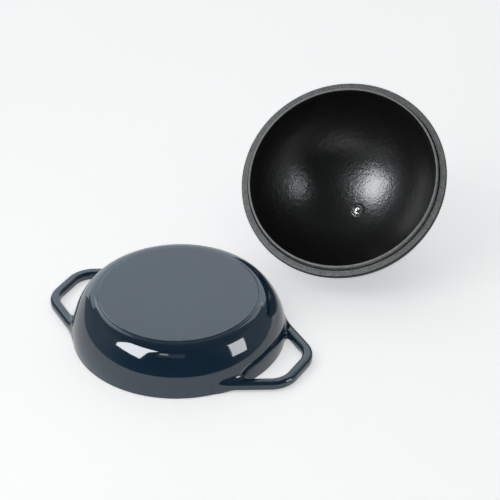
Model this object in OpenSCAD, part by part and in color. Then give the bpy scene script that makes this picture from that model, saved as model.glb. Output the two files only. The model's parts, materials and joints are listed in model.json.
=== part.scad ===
// Tagine pot in enamelled cast iron: a shallow two-handled pan and a domed lid with a knob.
// Millimetres, +Z up. The pan stands upside down on its rim, and the lid lies beside it on
// its dome and knob, open side up. The origin is on the surface they stand on, below the
// middle of the pair.

/* [Pan] */
// outer radius of the pan at its rim
rim_r = 140; // [110:1:170]
// height of the pan from rim to ground base
pan_h = 63.4; // [45:0.1:90]
// radius of the flat part of the base
base_r = 105.6; // [80:0.1:125]
// radius of the rounded shoulder beside the base
shoulder_r = 21; // [12:1:30]
// angle above level where the shoulder meets the fuller curve of the wall
wall_a = 42; // [25:1:60]
// thickness of base and wall
pan_wall = 4.8; // [3.5:0.1:7]
// width of the bare seat around the rim
seat_w = 8.2; // [6:0.1:11]
// height that the ground disc stands proud of the shoulder
disc_step = 0.8; // [0.4:0.1:2]
// radius of the ground disc
disc_r = 104; // [70:0.5:120]

// centre of the pan across the floor
pan_x = -91.3; // [-120:0.05:-60]
// centre of the pan along the floor
pan_y = -81.55; // [-120:0.05:-60]

/* [Handles] */
// direction of the two handles, degrees from +X
handle_turn = -30.3; // [-90:0.1:90]
// distance from the pan's centre to the outside of the grip
handle_reach = 186; // [165:0.5:210]
// half the width of the loop where grip and leg lines cross
handle_half = 37.4; // [28:0.2:55]
// angle between each leg and the handle's own line, degrees
leg_angle = 31.7; // [10:0.1:45]
// outside corner radius of the loop
loop_r = 40.5; // [20:0.5:55]
// width of the bar
bar_w = 13.5; // [9:0.1:16]
// thickness of the bar
bar_t = 12; // [8:0.1:15]
// rounding along the bar's edges
bar_edge = 3.4; // [1:0.1:4.5]
// height of the bar above the plane of the rim
bar_z = 2.2; // [0.5:0.1:6]

/* [Lid] */
// depth of the lid from its seat to the outside of the crown
lid_h = 128; // [90:1:160]
// wall of the dome
lid_wall = 5; // [3.5:0.1:8]
// radius just inside the locating ridge
mouth_r = 126.5; // [100:0.5:135]
// width of the locating ridge
ridge_w = 3.2; // [2:0.1:5]
// height of the locating ridge above the seat
ridge_h = 6.4; // [3:0.1:9]
// thickness of the flange around the seat
flange_t = 8; // [5:0.5:12]
// direction of the lid, degrees from -Y
lid_turn = -20.7; // [-90:0.1:90]
// centre of the lid's seat across the floor
lid_x = 126.7; // [100:0.05:170]
// centre of the lid's seat along the floor
lid_y = 89.15; // [70:0.05:180]

/* [Knob] */
// radius of the knob
knob_r = 20; // [16:0.5:26]
// rounding of the knob's top edge
knob_edge = 5; // [3:0.5:8]
// height of the knob above the crown
knob_h = 22.6; // [18:0.1:34]

/* [Hidden] */
$fn = 128;
navy = [0.06, 0.10, 0.15];
black = [0.05, 0.05, 0.055];
steel = [0.72, 0.72, 0.74];
brass = [0.78, 0.62, 0.32];
grey = [0.25, 0.25, 0.26];

rim_edge = 1.4;                         // bevel along the outside of both rims
shoulder_z = pan_h - disc_step;         // top of the shoulder
corner = [base_r, shoulder_z - shoulder_r];
// the wall's own arc meets the shoulder at wall_a and stands upright where it reaches rim_r
wall_r = (rim_r - base_r - shoulder_r * cos(wall_a)) / (1 - cos(wall_a));
wall_c = corner - (wall_r - shoulder_r) * [cos(wall_a), sin(wall_a)];

// lid profile: two spheres about one centre, with a short arc between the inner
// sphere and the straight mouth
dome_dz = 10;                           // centre of both spheres above the seat
dome_r = lid_h + dome_dz;
bowl_r = dome_r - lid_wall;
blend_a = 26.8;                         // angle below level where the arc meets the sphere
blend_r = (mouth_r - bowl_r * cos(blend_a)) / (1 - cos(blend_a));
blend_z = dome_dz - (bowl_r - blend_r) * sin(blend_a);
join_z = dome_dz - bowl_r * sin(blend_a);
blend_n = 5;                            // straight steps along that arc

// crown hardware, measured along the lid's own axis from its seat
pad_in = lid_h - lid_wall - 0.6;        // inside pad under the washers
pad_out = lid_h + 0.3;                  // outside pad under the gasket
pad_in_r = 9;
pad_out_r = 13;
hole_r = 2.9;
gasket_t = 1.2;
washer_t = 1.0;
spring_t = 1.2;
head_h = 3.6;
head_r = 4.8;
shank_r = 2.5;
insert_r = 4.2;
insert_l = 12;
knob_top = lid_h + knob_h;              // where the knob meets the floor
knob_foot = pad_out + gasket_t;

// the lid rests where its dome and its knob both touch the floor
reach_a = knob_r - knob_edge;
reach_b = knob_top - knob_edge + dome_dz;
lid_tilt = atan2(reach_a, reach_b)
         + acos((dome_r - knob_edge) / norm([reach_a, reach_b]));
lid_z = dome_r - dome_dz * cos(lid_tilt);

// the handle's corner arc, in the handle's own plan
leg_n = 90 - leg_angle;                 // direction that the leg's outer side faces
leg_d = handle_reach * cos(leg_n) + handle_half * sin(leg_n);
arc_x = handle_reach - loop_r;
arc_y = (leg_d - loop_r - arc_x * cos(leg_n)) / sin(leg_n);
mid_r = loop_r - bar_w / 2;
leg_l = 75;
slim = 0.05;

module lid_place() {
  translate([lid_x, lid_y, lid_z]) rotate([lid_tilt, 0, lid_turn]) children();
}

module bar_section(slim) {
  w = bar_w / 2 - slim;
  t = bar_t / 2 - slim;
  e = bar_edge;
  f = 0.29 * bar_edge;                  // the edge is broken twice, so it reads as round
  polygon([[w, e - t], [w, t - e], [w - f, t - f], [w - e, t], [e - w, t], [f - w, t - f],
           [-w, t - e], [-w, e - t], [f - w, f - t], [e - w, -t], [w - e, -t], [w - f, f - t]]);
}

// grip, two corner arcs and two legs; the straight bars are a hair slimmer and run a
// little way into the arcs
module loop_handle() {
  translate([0, 0, bar_z + bar_t / 2]) {
    translate([handle_reach - bar_w / 2, arc_y + 0.5, 0]) rotate([90, 0, 0])
      linear_extrude(2 * arc_y + 1) bar_section(slim);
    for (s = [0, 1]) mirror([0, s, 0]) translate([arc_x, arc_y, 0]) {
      rotate_extrude(angle = leg_n) translate([mid_r, 0]) bar_section(0);
      rotate([0, 0, leg_n]) translate([mid_r, -0.5, 0])
        rotate([90, 0, 180]) linear_extrude(leg_l) bar_section(slim);
    }
  }
}

// shoulder and wall arcs of the pan's profile, moved inward by t
module pan_arcs(t) {
  far = wall_r * 1.5;
  translate(corner) intersection() {
    circle(shoulder_r - t);
    polygon([[0, 0], far * [cos(wall_a), sin(wall_a)], [far, far], [0, far]]);
  }
  translate(wall_c) intersection() {
    circle(wall_r - t, $fn = 256);
    polygon([[0, 0], [far, 0], far * [cos(wall_a), sin(wall_a)]]);
  }
}

module pan_outside() {
  rotate_extrude() {
    polygon([[0, 0], [rim_r - rim_edge, 0], [rim_r, rim_edge], [rim_r, wall_c[1]], wall_c,
             corner, [base_r, shoulder_z], [0, shoulder_z]]);
    pan_arcs(0);
  }
  translate([0, 0, shoulder_z - 1]) cylinder(h = disc_step + 0.6, r = disc_r);
  translate([0, 0, pan_h - 0.4]) cylinder(h = 0.4, r1 = disc_r, r2 = disc_r - 0.4);
}

// upright inside the rim, then even with the outside
module pan_cavity() {
  r = rim_r - seat_w;
  turn = acos((r - wall_c[0]) / (wall_r - pan_wall));
  knee = wall_c + (wall_r - pan_wall) * [cos(turn), sin(turn)];
  rotate_extrude() intersection() {
    union() {
      polygon([[0, -1], [r, -1], knee, wall_c, corner, [base_r, shoulder_z - pan_wall],
               [0, shoulder_z - pan_wall]]);
      pan_arcs(pan_wall);
    }
    translate([0, -1]) square([r, pan_h]);
  }
}

module base_pan() {
  color(navy) translate([pan_x, pan_y, 0]) difference() {
    union() {
      pan_outside();
      for (a = [0, 180]) rotate([0, 0, handle_turn + a]) loop_handle();
    }
    pan_cavity();
  }
}

module dome_outline() {
  intersection() {
    translate([0, dome_dz]) circle(dome_r, $fn = 256);
    translate([0, -lid_h - 1]) square([rim_r, lid_h + 1]);
  }
  polygon([[0, 0], [rim_r - rim_edge, 0], [rim_r, -rim_edge], [rim_r, rim_edge - flange_t],
           [rim_r - rim_edge, -flange_t], [0, -flange_t]]);
  polygon([[mouth_r - 1, -1], [mouth_r + ridge_w, -1], [mouth_r + ridge_w, ridge_h - 0.9],
           [mouth_r + ridge_w - 0.9, ridge_h], [mouth_r - 1, ridge_h]]);
  translate([0, -pad_out]) square([pad_out_r, lid_wall]);
}

module bowl_outline() {
  // groove between ridge and seat
  translate([mouth_r + ridge_w, -0.9]) square([1.5, 2]);
  intersection() {
    translate([0, -lid_h]) square([rim_r, lid_h + 30]);
    union() {
      polygon(concat([[0, join_z], [0, 30], [mouth_r, 30]],
                     [for (i = [0:blend_n]) [mouth_r - blend_r * (1 - cos(blend_a * i / blend_n)),
                                             blend_z - blend_r * sin(blend_a * i / blend_n)]]));
      intersection() {
        translate([0, dome_dz]) circle(bowl_r, $fn = 256);
        translate([0, -lid_h]) square([rim_r, lid_h + join_z]);
      }
    }
  }
}

module lid_dome() {
  color(black) lid_place() difference() {
    union() {
      rotate_extrude() difference() {
        dome_outline();
        bowl_outline();
      }
      translate([0, 0, -pad_in - 2]) cylinder(h = 2, r = pad_in_r);
    }
    translate([0, 0, -pad_out - 1]) cylinder(h = lid_wall + 4, r = hole_r);
  }
}

module knob_gasket() {
  color(grey) lid_place() translate([0, 0, -knob_foot]) difference() {
    cylinder(h = gasket_t, r = pad_out_r - 1);
    translate([0, 0, -1]) cylinder(h = gasket_t + 2, r = hole_r);
  }
}

module knob() {
  foot = -knob_foot;
  top = -knob_top;
  neck = [9.5, foot - 5];
  mid = [reach_a, top + knob_edge];
  a = atan2(neck[1] - mid[1], neck[0] - mid[0]) - acos(knob_edge / norm(neck - mid));
  color(black) lid_place() difference() {
    rotate_extrude()
      polygon(concat([[0, foot], [12, foot], [12, foot - 1.5], neck],
                     [for (i = [0:8]) mid + knob_edge * [cos(a - i * (a + 90) / 8), sin(a - i * (a + 90) / 8)]],
                     [[0, top]]));
    translate([0, 0, foot - insert_l]) cylinder(h = insert_l + 1, r = insert_r + 0.02);
  }
}

module knob_insert() {
  color(brass) lid_place() translate([0, 0, -knob_foot - insert_l]) difference() {
    cylinder(h = insert_l, r = insert_r);
    translate([0, 0, -1]) cylinder(h = insert_l + 2, r = shank_r + 0.1);
  }
}

module knob_screw() {
  seat = -pad_in + washer_t + spring_t;
  color(steel) lid_place() difference() {
    union() {
      translate([0, 0, seat - 17]) cylinder(h = 17.5, r = shank_r);
      intersection() {
        translate([0, 0, seat]) cylinder(h = head_h, r = head_r);
        translate([0, 0, seat + head_h - 7]) sphere(7);
      }
    }
    for (a = [0, 90]) rotate([0, 0, a])
      translate([-2.6, -0.55, seat + head_h - 1.8]) cube([5.2, 1.1, 3]);
  }
}

module flat_washer() {
  color(steel) lid_place() translate([0, 0, -pad_in]) difference() {
    cylinder(h = washer_t, r = 6.5);
    translate([0, 0, -1]) cylinder(h = washer_t + 2, r = shank_r + 0.2);
  }
}

module spring_washer() {
  color(steel) lid_place() translate([0, 0, -pad_in + washer_t]) difference() {
    cylinder(h = spring_t, r = 4.6);
    translate([0, 0, -1]) cylinder(h = spring_t + 2, r = shank_r + 0.1);
    // the split
    translate([0, -0.5, -1]) cube([6, 1, spring_t + 2]);
  }
}

base_pan();
lid_dome();
knob_gasket();
knob();
knob_insert();
knob_screw();
flat_washer();
spring_washer();
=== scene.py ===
import bpy
import json
import math
import numpy as np
from mathutils import Matrix, Vector


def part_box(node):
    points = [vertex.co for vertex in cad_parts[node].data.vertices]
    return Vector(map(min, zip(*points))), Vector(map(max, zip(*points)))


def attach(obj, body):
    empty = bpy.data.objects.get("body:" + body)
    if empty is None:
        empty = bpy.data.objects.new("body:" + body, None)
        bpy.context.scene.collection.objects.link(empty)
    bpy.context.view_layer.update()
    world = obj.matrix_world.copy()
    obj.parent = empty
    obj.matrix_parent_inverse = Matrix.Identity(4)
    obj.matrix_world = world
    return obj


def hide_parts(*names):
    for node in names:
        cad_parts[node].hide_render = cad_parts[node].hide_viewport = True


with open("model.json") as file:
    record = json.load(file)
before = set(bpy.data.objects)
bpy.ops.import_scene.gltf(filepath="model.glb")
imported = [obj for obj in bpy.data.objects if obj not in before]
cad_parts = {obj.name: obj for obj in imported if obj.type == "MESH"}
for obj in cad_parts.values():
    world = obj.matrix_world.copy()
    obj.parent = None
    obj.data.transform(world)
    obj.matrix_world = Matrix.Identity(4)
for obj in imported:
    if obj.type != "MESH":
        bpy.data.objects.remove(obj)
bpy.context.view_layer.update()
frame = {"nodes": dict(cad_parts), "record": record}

MM = 0.001
record = frame["record"]
mounts = {m["name"]: m for m in record["mounts"]}
hob = mounts["hob_face"]["pos_m"]
PAN = Vector((hob[0], hob[1], 0.0))

# the lid's pose: its own axis, open side up, tipped over and turned about +Z
LID_TILT = math.radians(37.21)
LID_TURN = math.radians(-20.7)
DOME_R, DOME_DZ = 138.0, 10.0
screw_lo, screw_hi = (Vector(v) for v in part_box("knob_screw"))
lid_rot = Matrix.Rotation(LID_TURN, 4, "Z") @ Matrix.Rotation(LID_TILT, 4, "X")
lid_up = lid_rot.to_3x3() @ Vector((0, 0, 1))
LID = Vector((0.1267, 0.08915, (DOME_R - DOME_DZ * math.cos(LID_TILT)) * MM))
# the screw runs along the lid's axis, with its middle this far behind the seat
SCREW_MID = 0.1271
off = (LID - lid_up * SCREW_MID) - (screw_lo + screw_hi) / 2
if off.length > 0.003:
    raise RuntimeError("the lid's pose has moved from the CAD: %s" % off)
LID_M = Matrix.Translation(LID) @ lid_rot

# ---------------------------------------------------------------- camera

scene = bpy.context.scene
scene.view_settings.view_transform = "Standard"
scene.view_settings.look = "None"
cam_data = bpy.data.cameras.new("camera")
cam = bpy.data.objects.new("camera", cam_data)
scene.collection.objects.link(cam)
cam_data.sensor_width = 36.0
cam_data.lens = 144.0
cam_data.clip_end = 50.0
PITCH = 34.8
cam.location = PAN + Vector((0.093, -2.0963, 1.588))
cam.rotation_euler = (math.radians(90 - PITCH), 0.0, 0.0)
scene.camera = cam

# ---------------------------------------------------------------- shapes


def arc(cx, cz, r, a0, a1, n):
    """Points on an arc, angles in degrees from +r, both ends included."""
    t = np.radians(np.linspace(a0, a1, n + 1))
    return [(cx + r * math.cos(a), cz + r * math.sin(a)) for a in t]


def straight(p, q, n=1, pad=0.15):
    """A straight run with a close extra point near each end, so shading stays flat."""
    p, q = np.array(p, float), np.array(q, float)
    length = np.linalg.norm(q - p)
    k = min(pad / length, 0.2)
    return [tuple(p + (q - p) * t) for t in [0, k] + [i / n for i in range(1, n)] + [1 - k, 1]]


def chain(*runs):
    """Joins runs of points and notes each piece's slot: each run is (slot, points)."""
    pts, slots = [], []
    for slot, run in runs:
        for p in run:
            if pts and math.dist(pts[-1], p) < 1e-6:
                continue
            if pts:
                slots.append(slot)
            pts.append(p)
    return pts, slots


def revolve(name, pts, slots, mats, segs=288, place=Matrix(), closed=False):
    """A surface of revolution about Z, in mm, with quads and shared poles."""
    n = len(pts)
    ang = np.arange(segs) * 2 * np.pi / segs
    co, ring = [], []
    for r, z in pts:
        if r < 1e-6:
            ring.append([len(co)] * segs)
            co.append((0, 0, z))
        else:
            ring.append(list(range(len(co), len(co) + segs)))
            co += [(r * math.cos(a), r * math.sin(a), z) for a in ang]
    faces, fs = [], []
    for i in range(n if closed else n - 1):
        a, b = ring[i], ring[(i + 1) % n]
        for j in range(segs):
            k = (j + 1) % segs
            f = [a[j], b[j], b[k], a[k]]
            f = [v for m, v in enumerate(f) if v not in f[:m]]
            faces.append(f)
            fs.append(slots[i] if i < len(slots) else slots[0])
    me = bpy.data.meshes.new(name)
    me.from_pydata([tuple(c * MM for c in p) for p in co], [], faces)
    me.transform(place)
    for m in mats:
        me.materials.append(m)
    me.polygons.foreach_set("material_index", fs)
    me.polygons.foreach_set("use_smooth", [True] * len(faces))
    me.validate()
    me.update()
    ob = bpy.data.objects.new(name, me)
    scene.collection.objects.link(ob)
    return ob


def surface_net(f, lo, hi, h):
    """The zero surface of f over a box, as quads: one corner per mixed cell."""
    ax = [np.arange(lo[i], hi[i] + h, h) for i in range(3)]
    g = np.stack(np.meshgrid(*ax, indexing="ij"), -1)
    v = f(g.reshape(-1, 3)).reshape(g.shape[:3])
    neg = v < 0
    n = [s - 1 for s in v.shape]

    def at(a, d):
        return a[d[0]:d[0] + n[0], d[1]:d[1] + n[1], d[2]:d[2] + n[2]]

    corners = [(i, j, k) for i in (0, 1) for j in (0, 1) for k in (0, 1)]
    count = sum(at(neg, c).astype(int) for c in corners)
    mixed = (count > 0) & (count < 8)
    total = np.zeros(tuple(n) + (3,))
    hits = np.zeros(tuple(n))
    for c in corners:
        for d in range(3):
            if c[d]:
                continue
            e = list(c)
            e[d] = 1
            va, vb = at(v, c), at(v, e)
            cross = at(neg, c) != at(neg, e)
            t = np.where(cross, va / np.where(cross, va - vb, 1), 0)
            p = np.array(c, float) + t[..., None] * (np.array(e) - np.array(c))
            total += np.where(cross[..., None], p, 0)
            hits += cross
    idx = -np.ones(tuple(n), int)
    where = np.argwhere(mixed)
    idx[mixed] = np.arange(len(where))
    verts = (total[mixed] / hits[mixed][:, None] + where) * h + np.array(lo)
    quads = []
    for d in range(3):
        a, b = [(1, 2), (2, 0), (0, 1)][d]
        step = [0, 0, 0]
        step[d] = 1
        here = np.argwhere(
            neg[:neg.shape[0] - step[0], :neg.shape[1] - step[1], :neg.shape[2] - step[2]]
            != neg[step[0]:, step[1]:, step[2]:])
        ok = (here[:, a] > 0) & (here[:, b] > 0) & (here[:, a] < n[a]) & (here[:, b] < n[b])
        here = here[ok]
        da, db = np.eye(3, dtype=int)[a], np.eye(3, dtype=int)[b]
        q = np.stack([idx[tuple((here - da - db).T)], idx[tuple((here - db).T)],
                      idx[tuple(here.T)], idx[tuple((here - da).T)]], 1)
        flip = ~neg[tuple(here.T)]
        q[flip] = q[flip][:, ::-1]
        quads.append(q)
    return verts, np.vstack(quads)


def gradient(f, p, e=0.02):
    """The slope of f at points p, by central differences."""
    return np.stack([(f(p + e * d) - f(p - e * d)) / (2 * e) for d in np.eye(3)], 1)


def settle(f, p, steps=6):
    """Slides points onto the zero surface of f."""
    for _ in range(steps):
        g = gradient(f, p)
        p = p - g * (f(p) / np.maximum((g * g).sum(1), 0.2))[:, None]
    return p


# ---------------------------------------------------------------- materials


class Nodes:
    """A material's node tree around its Principled shader, with short makers for the usual nodes."""

    def __init__(self, name):
        self.mat = bpy.data.materials.new(name)
        self.mat.use_nodes = True
        self.t = self.mat.node_tree
        self.bsdf = self.t.nodes["Principled BSDF"]
        self.co = self.t.nodes.new("ShaderNodeTexCoord").outputs["Object"]

    def set(self, **kw):
        """Puts constants on the shader's own sockets."""
        for k, v in kw.items():
            s = self.bsdf.inputs[k.replace("_", " ")]
            s.default_value = (*v, 1.0) if isinstance(v, tuple) and len(v) == 3 else v

    def noise(self, scale, detail=2.0, rough=0.5):
        n = self.t.nodes.new("ShaderNodeTexNoise")
        n.inputs["Scale"].default_value = scale
        n.inputs["Detail"].default_value = detail
        n.inputs["Roughness"].default_value = rough
        self.t.links.new(self.co, n.inputs["Vector"])
        return n.outputs["Fac"]

    def cells(self, scale):
        n = self.t.nodes.new("ShaderNodeTexVoronoi")
        n.inputs["Scale"].default_value = scale
        self.t.links.new(self.co, n.inputs["Vector"])
        return n.outputs["Distance"]

    def ramp(self, fac, *stops):
        n = self.t.nodes.new("ShaderNodeValToRGB")
        el = n.color_ramp.elements
        while len(el) < len(stops):
            el.new(0.5)
        for e, (pos, c) in zip(el, stops):
            e.position = pos
            e.color = (c, c, c, 1) if isinstance(c, (int, float)) else (*c, 1)
        self.t.links.new(fac, n.inputs["Fac"])
        return n.outputs["Color"]

    def span(self, fac, a, b, lo=0.0, hi=1.0):
        """Maps fac from lo..hi to a..b."""
        n = self.t.nodes.new("ShaderNodeMapRange")
        n.inputs["From Min"].default_value = lo
        n.inputs["From Max"].default_value = hi
        n.inputs["To Min"].default_value = a
        n.inputs["To Max"].default_value = b
        self.t.links.new(fac, n.inputs["Value"])
        return n.outputs["Result"]

    def math(self, op, a, b):
        n = self.t.nodes.new("ShaderNodeMath")
        n.operation = op
        for s, v in zip(n.inputs, (a, b)):
            if isinstance(v, (int, float)):
                s.default_value = v
            else:
                self.t.links.new(v, s)
        return n.outputs[0]

    def mix(self, fac, a, b):
        n = self.t.nodes.new("ShaderNodeMix")
        n.data_type = "RGBA"
        for s, v in ((n.inputs["Factor"], fac), (n.inputs["A"], a), (n.inputs["B"], b)):
            if isinstance(v, (int, float)):
                s.default_value = v
            elif isinstance(v, tuple):
                s.default_value = (*v, 1)
            else:
                self.t.links.new(v, s)
        return n.outputs["Result"]

    def bump(self, height, strength, distance, base=None):
        n = self.t.nodes.new("ShaderNodeBump")
        n.inputs["Strength"].default_value = strength
        n.inputs["Distance"].default_value = distance
        self.t.links.new(height, n.inputs["Height"])
        if base is not None:
            self.t.links.new(base, n.inputs["Normal"])
        return n.outputs["Normal"]

    def link(self, socket, value):
        self.t.links.new(value, self.bsdf.inputs[socket])
        return self


def gloss_enamel():
    """Deep blue-black vitreous enamel: glassy, with a slow waviness and a few pinpricks."""
    m = Nodes("gloss_enamel")
    m.set(IOR=1.68, Metallic=0.0)
    cloud = m.noise(14, 4, 0.6)
    fine = m.noise(900, 2, 0.5)
    base = m.ramp(cloud, (0.3, (0.0075, 0.026, 0.052)), (0.7, (0.0105, 0.033, 0.064)))
    speck = m.span(m.cells(420), 1.0, 0.0, 0.02, 0.07)
    m.link("Base Color", m.mix(m.math("MULTIPLY", speck, 0.5), base, (0.004, 0.008, 0.014)))
    m.link("Roughness", m.math("ADD", m.span(m.noise(60, 3, 0.6), 0.035, 0.065, 0.3, 0.7),
                               m.math("MULTIPLY", fine, 0.012)))
    n = m.bump(m.noise(34, 2, 0.45), 0.14, 0.0009)
    n = m.bump(m.noise(230, 1, 0.4), 0.06, 0.0002, n)
    n = m.bump(speck, 0.12, 0.0001, n)
    m.link("Normal", n)
    return m.mat


def satin_enamel():
    """Black cooking enamel: satin, orange-peeled, with a dry sparkle in it."""
    m = Nodes("satin_enamel")
    m.set(IOR=1.33, Coat_Weight=0.95, Coat_Roughness=0.26, Coat_IOR=1.64)
    cloud = m.noise(22, 5, 0.6)
    base = m.ramp(cloud, (0.3, (0.0055, 0.0055, 0.0052)), (0.7, (0.0090, 0.0090, 0.0080)))
    dust = m.span(m.noise(1500, 2, 0.6), 0.0, 0.5, 0.64, 0.80)
    m.link("Base Color", m.mix(dust, base, (0.018, 0.018, 0.018)))
    m.link("Roughness", m.span(m.noise(320, 3, 0.6), 0.36, 0.46, 0.3, 0.7))
    n = m.bump(m.noise(150, 2, 0.5), 0.38, 0.0009)
    n = m.bump(m.noise(420, 1.5, 0.5), 0.5, 0.0004, n)
    n = m.bump(m.noise(1100, 2, 0.55), 0.2, 0.0001, n)
    m.link("Normal", n)
    m.link("Coat Normal", n)
    return m.mat


def bare_rim(name, lo, mid, hi):
    """The unglazed seat: thin ground coat over iron, speckled and dry."""
    m = Nodes(name)
    m.set(IOR=1.5)
    speck = m.noise(980, 3, 0.8)
    patch = m.noise(90, 3, 0.6)
    a = m.ramp(speck, (0.38, lo), (0.50, mid), (0.62, hi))
    m.link("Base Color", m.mix(m.span(patch, 0.0, 0.4, 0.4, 0.7), a, lo))
    m.link("Roughness", m.span(speck, 0.62, 0.42, 0.3, 0.7))
    m.link("Normal", m.bump(speck, 0.5, 0.0003))
    return m.mat


def edge_coat_and_groove_shade():
    """Thin black coat where the enamel ends, also laid in the groove at the ridge's foot as painted
    shade: satin, a little pitted.
    """
    m = Nodes("edge_coat_and_groove_shade")
    m.set(IOR=1.45, Specular_IOR_Level=0.2)
    speck = m.noise(700, 3, 0.7)
    m.link("Base Color", m.ramp(speck, (0.4, (0.004, 0.004, 0.005)), (0.75, (0.018, 0.018, 0.019))))
    m.link("Roughness", m.span(speck, 0.34, 0.55, 0.3, 0.7))
    m.link("Normal", m.bump(speck, 0.4, 0.0002))
    return m.mat


def metal(name, tone, rough):
    """Turned or stamped metal with fine grain and patches of wear."""
    m = Nodes(name)
    m.set(Metallic=1.0)
    a = m.noise(700, 3, 0.6)
    m.link("Base Color", m.ramp(a, (0.3, tuple(c * 0.85 for c in tone)), (0.7, tone)))
    m.link("Roughness", m.span(m.noise(1600, 2, 0.6), rough * 0.7, rough * 1.4, 0.3, 0.7))
    m.link("Normal", m.bump(m.noise(2600, 2, 0.5), 0.15, 0.00004))
    return m.mat


def phenolic():
    """Black moulded resin of the knob."""
    m = Nodes("phenolic")
    m.set(IOR=1.55)
    a = m.noise(300, 4, 0.6)
    m.link("Base Color", m.ramp(a, (0.3, (0.010, 0.010, 0.0105)), (0.7, (0.017, 0.017, 0.018))))
    m.link("Roughness", m.span(m.noise(90, 3, 0.5), 0.22, 0.32, 0.3, 0.7))
    m.link("Normal", m.bump(m.noise(480, 2, 0.5), 0.2, 0.00008))
    return m.mat


def gasket():
    """Dark fibre ring under the knob."""
    m = Nodes("gasket")
    m.link("Base Color", m.ramp(m.noise(500, 4, 0.6), (0.3, (0.03, 0.03, 0.031)),
                                (0.7, (0.05, 0.05, 0.052))))
    m.link("Roughness", m.span(m.noise(700, 2, 0.5), 0.6, 0.8, 0.3, 0.7))
    m.link("Normal", m.bump(m.noise(1400, 2, 0.5), 0.3, 0.00008))
    return m.mat


NAVY = gloss_enamel()
BLACK = satin_enamel()
RIM = bare_rim("bare_rim", (0.07, 0.072, 0.074), (0.20, 0.202, 0.204), (0.46, 0.46, 0.46))
CREST = bare_rim("ridge_crest", (0.22, 0.22, 0.22), (0.34, 0.34, 0.34), (0.50, 0.50, 0.50))
EDGE_AND_GROOVE_SHADE = edge_coat_and_groove_shade()
STEEL = metal("screw_steel", (0.78, 0.77, 0.75), 0.16)
WASHER = metal("washer_steel", (0.55, 0.55, 0.54), 0.28)
SPRING = metal("spring_steel", (0.30, 0.30, 0.31), 0.30)
BRASS = metal("brass", (0.76, 0.58, 0.28), 0.25)
KNOB = phenolic()
GASKET = gasket()

# ---------------------------------------------------------------- pan

# as in the CAD, in mm: rim radius, height, radius where the base ends, shoulder radius, and the
# angle in degrees where the shoulder passes into the wall
RIM_R, PAN_H, BASE_R, SHO_R, WALL_A = 140.0, 63.4, 105.6, 21.0, 42.0
# wall thickness, width of the bare seat, height and radius of the ground disc's edge
WALL, SEAT, STEP, DISC_R = 4.8, 8.2, 0.4, 104.0
CAVITY_TOP = PAN_H - 37.7               # where the inner wall starts to curve in
SEGS = 320                              # quads round each casting
SHO_Z = PAN_H - STEP - SHO_R
cw, sw = math.cos(math.radians(WALL_A)), math.sin(math.radians(WALL_A))
WALL_R = (RIM_R - BASE_R - SHO_R * cw) / (1 - cw)
WALL_X, WALL_Z = BASE_R - (WALL_R - SHO_R) * cw, SHO_Z - (WALL_R - SHO_R) * sw
KNEE = math.degrees(math.acos((RIM_R - SEAT - WALL_X) / (WALL_R - WALL)))
pan_pts, pan_slots = chain(
    (0, [(0, PAN_H - 0.12), (30, PAN_H - 0.11), (60, PAN_H - 0.07), (85, PAN_H - 0.02)]),
    (0, straight((92, PAN_H), (DISC_R - 2.0, PAN_H))),
    # the ground disc's edge, softened by the enamel that runs over it
    (0, [(DISC_R - 0.2 + 1.1 * t, PAN_H - STEP * t * t * (3 - 2 * t))
         for t in (k / 9 for k in range(10))]),
    (0, arc(BASE_R, SHO_Z, SHO_R, 90, WALL_A, 26)),
    (0, arc(WALL_X, WALL_Z, WALL_R, WALL_A, 0, 40)),
    (0, straight((RIM_R, WALL_Z - 0.2), (RIM_R, 1.6), 2)),
    (0, arc(RIM_R - 1.4, 1.4, 1.4, 0, -90, 6)),
    (1, straight((RIM_R - 1.6, 0), (RIM_R - SEAT + 1.2, 0), 2)),
    (2, arc(RIM_R - SEAT + 0.9, 0.9, 0.9, 270, 180, 5)),
    (2, straight((RIM_R - SEAT, 1.2), (RIM_R - SEAT, CAVITY_TOP), 4)),
    (2, arc(WALL_X, WALL_Z, WALL_R - WALL, KNEE + 1.5, WALL_A, 16)),
    (2, arc(BASE_R, SHO_Z, SHO_R - WALL, WALL_A, 90, 18)),
    (2, straight((BASE_R - 0.5, SHO_Z + SHO_R - WALL), (0, SHO_Z + SHO_R - WALL), 6)),
)
pan = revolve("pan_body", pan_pts, pan_slots, [NAVY, RIM, BLACK], SEGS, Matrix.Translation(PAN))

# the two loop handles, drawn as one smooth casting with the wall
# reach from the pan's axis, half the grip's length, the legs' lean in degrees, outer radius of the
# loop's corners; then the bar's width, thickness and height above the floor
REACH, HALF, LEG, LOOP, BAR_W, BAR_T, BAR_Z = 185.95, 37.4, 31.7, 40.5, 13.5, 12.0, 2.2
BAR_EDGE, FILLET, TURN = 4.0, 8.0, -30.3
an = math.radians(90 - LEG)
leg_d = REACH * math.cos(an) + HALF * math.sin(an)
arc_x = REACH - LOOP
arc_y = (leg_d - LOOP - arc_x * math.cos(an)) / math.sin(an)
mid_r = LOOP - BAR_W / 2


def d_wall(p):
    """Distance to the pan's outer wall, upright at the rim and curved above it."""
    r, z = np.hypot(p[:, 0], p[:, 1]), p[:, 2]
    curved = np.hypot(r - WALL_X, np.maximum(z - WALL_Z, 0)) - WALL_R
    return np.where(z > WALL_Z, curved, r - RIM_R)


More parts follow.
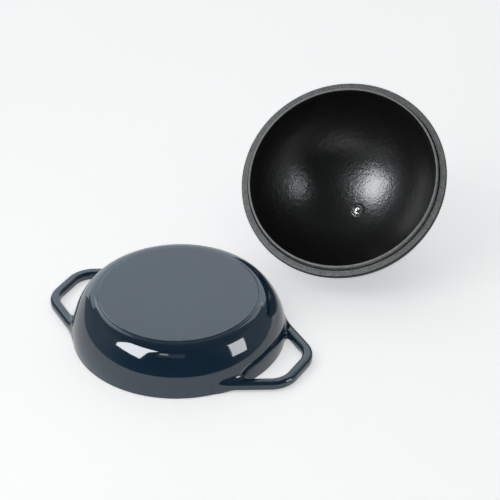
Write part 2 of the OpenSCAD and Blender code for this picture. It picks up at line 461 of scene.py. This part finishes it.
def d_bar(p):
    """Distance to the loop's bar, whose section is a rectangle with rounded edges."""
    u, v = p[:, 0], np.abs(p[:, 1])
    # distance in plan to the line down the middle of the bar
    q = np.stack([u - arc_x, v - arc_y], 1)
    side = np.array([math.cos(an), math.sin(an)])
    leg = np.abs(q @ side - mid_r)
    corner = np.abs(np.hypot(q[:, 0], q[:, 1]) - mid_r)
    grip = np.abs(u - (REACH - BAR_W / 2))
    plan = np.where(np.arctan2(q[:, 1], q[:, 0]) > an, leg, corner)
    plan = np.where(v <= arc_y, grip, plan)
    zc = p[:, 2] - (BAR_Z + BAR_T / 2)
    a = plan - (BAR_W / 2 - BAR_EDGE)
    b = np.abs(zc) - (BAR_T / 2 - BAR_EDGE)
    return np.hypot(np.maximum(a, 0), np.maximum(b, 0)) + np.minimum(np.maximum(a, b), 0) - BAR_EDGE


def d_cast(p):
    """Bar and wall melted into each other over FILLET, cut off at the floor."""
    a, b = d_bar(p), d_wall(p)
    h = np.maximum(FILLET - np.abs(a - b), 0) / FILLET
    return np.maximum(np.minimum(a, b) - h * h * FILLET / 4, -p[:, 2])


NET_LOW, NET_HIGH, NET_STEP = (100, -92, -2), (190, 92, 26), 1.15
verts, quads = surface_net(d_cast, NET_LOW, NET_HIGH, NET_STEP)
verts = settle(d_cast, verts)
# only what stands outside the wall: the pan's own body carries the wall
keep = (d_wall(verts) > 0.02)[quads].all(1)
quads = quads[keep]
used = np.unique(quads)
remap = -np.ones(len(verts), int)
remap[used] = np.arange(len(used))
verts, quads = verts[used], remap[quads]
verts[:, 2] = np.maximum(verts[:, 2], 0.0)
norm = gradient(d_cast, verts)
norm /= np.linalg.norm(norm, axis=1)[:, None]
handles = []
for name, turn in (("handle_right", TURN), ("handle_left", TURN + 180)):
    rot = Matrix.Rotation(math.radians(turn), 4, "Z")
    R3 = np.array(rot.to_3x3())
    me = bpy.data.meshes.new(name)
    me.from_pydata((verts @ R3.T * MM + np.array(PAN)).tolist(), [], quads.tolist())
    me.materials.append(NAVY)
    me.polygons.foreach_set("use_smooth", [True] * len(me.polygons))
    me.normals_split_custom_set_from_vertices((norm @ R3.T).tolist())
    me.update()
    ob = bpy.data.objects.new(name, me)
    scene.collection.objects.link(ob)
    handles.append(ob)

for ob in [pan] + handles:
    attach(ob, "pan")
    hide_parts("base_pan")

# ---------------------------------------------------------------- lid

# depth from seat to crown, wall thickness, mouth radius, ridge width and height, flange thickness
LID_H, LID_WALL, MOUTH, RIDGE_W, RIDGE_H, FLANGE = 128.0, 5.0, 126.5, 3.2, 6.4, 8.0
BOWL_R = DOME_R - LID_WALL
BLEND_A = 26.8                          # where the bowl's sphere passes into the mouth's blend
ca, sa = math.cos(math.radians(BLEND_A)), math.sin(math.radians(BLEND_A))
BLEND_R = (MOUTH - BOWL_R * ca) / (1 - ca)
BLEND_Z = DOME_DZ - (BOWL_R - BLEND_R) * sa
PAD_IN, PAD_OUT = LID_H - LID_WALL - 0.6, LID_H + 0.3


def dome_at(r, radius):
    """Angle on a sphere about the lid's centre where its radius from the axis is r."""
    return math.degrees(-math.acos(r / radius))


z_end = -10.5
r_end = math.sqrt(DOME_R ** 2 - (DOME_DZ - z_end) ** 2)
lid_pts, lid_slots = chain(
    (0, straight((2.9, -PAD_OUT), (12.6, -PAD_OUT))),
    (0, arc(12.6, -PAD_OUT + 0.4, 0.4, 270, 360, 3)),
    (0, arc(13.9, -LID_H + 1.52, 0.9, 180, 95, 3)),
    (0, arc(0, DOME_DZ, DOME_R, dome_at(15.5, DOME_R), dome_at(r_end, DOME_R), 70)),
    (0, [(r_end + 0.25, z_end + 1.0), (r_end + 0.8, z_end + 1.9), (r_end + 1.6, z_end + 2.4)]),
    (0, arc(RIM_R - 1.7, 1.7 - FLANGE, 1.7, 270, 360, 6)),
    (3, straight((RIM_R, 2.0 - FLANGE), (RIM_R, -2.5), 2)),
    (3, arc(RIM_R - 2.2, -2.2, 2.2, 0, 50, 5)),
    (1, arc(RIM_R - 2.2, -2.2, 2.2, 50, 90, 3)),
    (1, straight((RIM_R - 2.4, 0), (MOUTH + RIDGE_W + 3.4, 0), 3)),
    (1, straight((MOUTH + RIDGE_W + 3.3, 0), (MOUTH + RIDGE_W + 1.9, 0))),
    # the groove at the ridge's foot takes the black edge coat as painted shade
    (3, arc(MOUTH + RIDGE_W + 1.5, -0.45, 0.45, 75, 180, 4)),
    (3, arc(MOUTH + RIDGE_W + 0.65, -0.5, 0.4, 330, 210, 4)),
    (1, straight((MOUTH + RIDGE_W, 0.1), (MOUTH + RIDGE_W - 0.15, RIDGE_H - 1.3))),
    (1, arc(MOUTH + RIDGE_W - 1.15, RIDGE_H - 1.0, 1.0, 0, 50, 4)),
    (4, arc(MOUTH + RIDGE_W - 1.15, RIDGE_H - 1.0, 1.0, 50, 90, 3)),
    (4, arc(MOUTH + 0.8, RIDGE_H - 0.8, 0.8, 90, 125, 3)),
    (3, arc(MOUTH + 0.8, RIDGE_H - 0.8, 0.8, 125, 180, 4)),
    (2, straight((MOUTH, RIDGE_H - 1.3), (MOUTH, BLEND_Z), 4)),
    (2, arc(MOUTH - BLEND_R, BLEND_Z, BLEND_R, 0, -BLEND_A, 14)),
    (2, arc(0, DOME_DZ, BOWL_R, -BLEND_A - 1, dome_at(10.2, BOWL_R), 76)),
    (2, [(9.5, -LID_H + LID_WALL + 0.42), (9.15, -PAD_IN - 0.12), (8.8, -PAD_IN)]),
    (2, straight((8.6, -PAD_IN), (2.9, -PAD_IN))),
    (2, [(2.9, -PAD_OUT + 1.0)]),
)
lid_slots.append(0)
lid = revolve("lid_body", lid_pts, lid_slots, [NAVY, RIM, BLACK, EDGE_AND_GROOVE_SHADE, CREST], SEGS, LID_M, True)
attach(lid, "lid")
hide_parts("lid_dome")

# the knob, turned with a waist and a rounded cap
foot, top, cap_r, edge = -PAD_OUT - 1.2, -LID_H - 22.6, 20.0, 5.0
knob_pts, knob_slots = chain(
    (0, [(0, foot)]),
    (0, straight((1, foot), (11.4, foot))),
    (0, arc(11.4, foot - 0.6, 0.6, 90, 0, 3)),
    (0, [(12, foot - 1.2), (11.5, foot - 1.7), (10.5, foot - 2.7), (9.8, foot - 3.9),
         (9.55, foot - 5.0), (9.9, foot - 6.1), (11.0, foot - 7.4), (12.9, foot - 8.8),
         (15.2, foot - 10.2), (17.2, foot - 11.4)]),
    (0, arc(cap_r - edge, top + edge, edge, 48, -90, 18)),
    (0, [(11, top), (7, top), (3, top), (0, top)]),
)
knob_ob = revolve("knob_turned", knob_pts, knob_slots, [KNOB], 128, LID_M)
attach(knob_ob, "lid")
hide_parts("knob")

for node, mat in (("knob_screw", STEEL), ("flat_washer", WASHER), ("spring_washer", SPRING),
                  ("knob_insert", BRASS), ("knob_gasket", GASKET)):
    ob = frame["nodes"][node]
    for s in ob.material_slots:
        s.material = mat

# ---------------------------------------------------------------- studio

floor_me = bpy.data.meshes.new("floor")
FLOOR_X, FLOOR_FRONT, FLOOR_BACK = 9, -7, 9
floor_me.from_pydata([(-FLOOR_X, FLOOR_FRONT, 0), (FLOOR_X, FLOOR_FRONT, 0),
                      (FLOOR_X, FLOOR_BACK, 0), (-FLOOR_X, FLOOR_BACK, 0)], [], [(0, 1, 2, 3)])
floor = bpy.data.objects.new("floor", floor_me)
scene.collection.objects.link(floor)
fm = Nodes("studio_floor")
fm.set(Roughness=0.9, Specular_IOR_Level=0.1,
       Emission_Color=(1.0, 1.0, 1.0), Emission_Strength=0.50)
fm.link("Base Color", fm.ramp(fm.noise(3, 2, 0.5), (0.3, (0.93, 0.93, 0.925)),
                              (0.7, (0.95, 0.95, 0.945))))
floor_me.materials.append(fm.mat)
floor.location.z = -0.0002              # a hair under the pieces that rest on it

aim = PAN + Vector((0.0, 0.0, 0.05))


def softbox(name, az, el, dist, w, h, radiance, tint, roll, part):
    """A rectangular light seen from aim at azimuth az (from +Y towards +X) and elevation el.

    part is "gloss" for a panel that shows only as a reflection, or "fill" for one that only
    lights matt surfaces.
    """
    a, e = math.radians(az), math.radians(el)
    d = Vector((math.sin(a) * math.cos(e), math.cos(a) * math.cos(e), math.sin(e)))
    data = bpy.data.lights.new(name, "AREA")
    data.shape = "RECTANGLE"
    data.size, data.size_y = w, h
    data.energy = radiance * math.pi * w * h
    data.color = tint
    ob = bpy.data.objects.new(name, data)
    ob.location = aim + d * dist
    face = (-d).to_track_quat("-Z", "Y").to_matrix()
    ob.rotation_euler = (face @ Matrix.Rotation(math.radians(roll), 3, "Z")).to_euler()
    ob.visible_camera = False
    ob.visible_diffuse = part == "fill"
    ob.visible_glossy = part == "gloss"
    scene.collection.objects.link(ob)


COOL, WHITE = (0.82, 0.94, 1.05), (1, 1, 1)
# key and side are the two bright windows on the shoulder, glow and haze the faint streak between
# them; walls and wings are the pale backdrop that the base reflects; fills light matt surfaces
softbox("key", -124.5, 42.5, 1.5, 0.80, 0.90, 11.6, (0.97, 0.99, 1.03), -3, "gloss")
softbox("side", 110.0, 24.5, 3.0, 0.95, 1.25, 7.0, (0.96, 0.99, 1.03), -15, "gloss")
softbox("glow", -163, 44, 2.0, 0.26, 0.20, 2.8, (1, 1, 0.96), 0, "gloss")
softbox("haze", -172, 42, 2.0, 0.9, 0.30, 0.30, COOL, 0, "gloss")
softbox("wall_low", -1.5, 9.5, 3.0, 4.45, 1.08, 1.26, COOL, 0, "gloss")
softbox("wall_high", -0.5, 29.5, 3.0, 3.56, 1.07, 1.20, COOL, 0, "gloss")
softbox("wing_left", -17.2, 43, 3.0, 0.50, 0.80, 1.20, COOL, -26, "gloss")
softbox("wing_right", 22.5, 43, 3.0, 0.74, 0.66, 1.20, COOL, 25, "gloss")
softbox("fill_left", -122, 46, 2.4, 1.7, 1.7, 1.35, WHITE, 0, "fill")
softbox("fill_front", 170, 50, 2.6, 2.2, 2.2, 0.34, WHITE, 0, "fill")
softbox("fill_back", 0, 40, 3.0, 3.0, 2.0, 0.42, WHITE, 0, "fill")
softbox("fill_top", 0, 89.9, 2.3, 3.2, 3.2, 0.24, WHITE, 0, "fill")

# the rest of the studio: grey at the sides, dark behind the camera and overhead
world = bpy.data.worlds.new("studio")
world.use_nodes = True
wt = world.node_tree
split = wt.nodes.new("ShaderNodeSeparateXYZ")
wt.links.new(wt.nodes.new("ShaderNodeTexCoord").outputs["Generated"], split.inputs[0])


def world_range(src, a, b, lo, hi):
    n = wt.nodes.new("ShaderNodeMapRange")
    n.interpolation_type = "SMOOTHSTEP"
    for k, v in (("From Min", a), ("From Max", b), ("To Min", lo), ("To Max", hi)):
        n.inputs[k].default_value = v
    wt.links.new(src, n.inputs["Value"])
    return n.outputs["Result"]


both = wt.nodes.new("ShaderNodeMath")
both.operation = "MULTIPLY"
wt.links.new(world_range(split.outputs["Y"], -0.75, 0.1, 0.055, 0.33), both.inputs[0])
wt.links.new(world_range(split.outputs["Z"], 0.62, 0.95, 1.0, 0.30), both.inputs[1])
back = wt.nodes["Background"]
back.inputs["Color"].default_value = (0.87, 0.96, 1.0, 1)
wt.links.new(both.outputs[0], back.inputs["Strength"])
scene.world = world
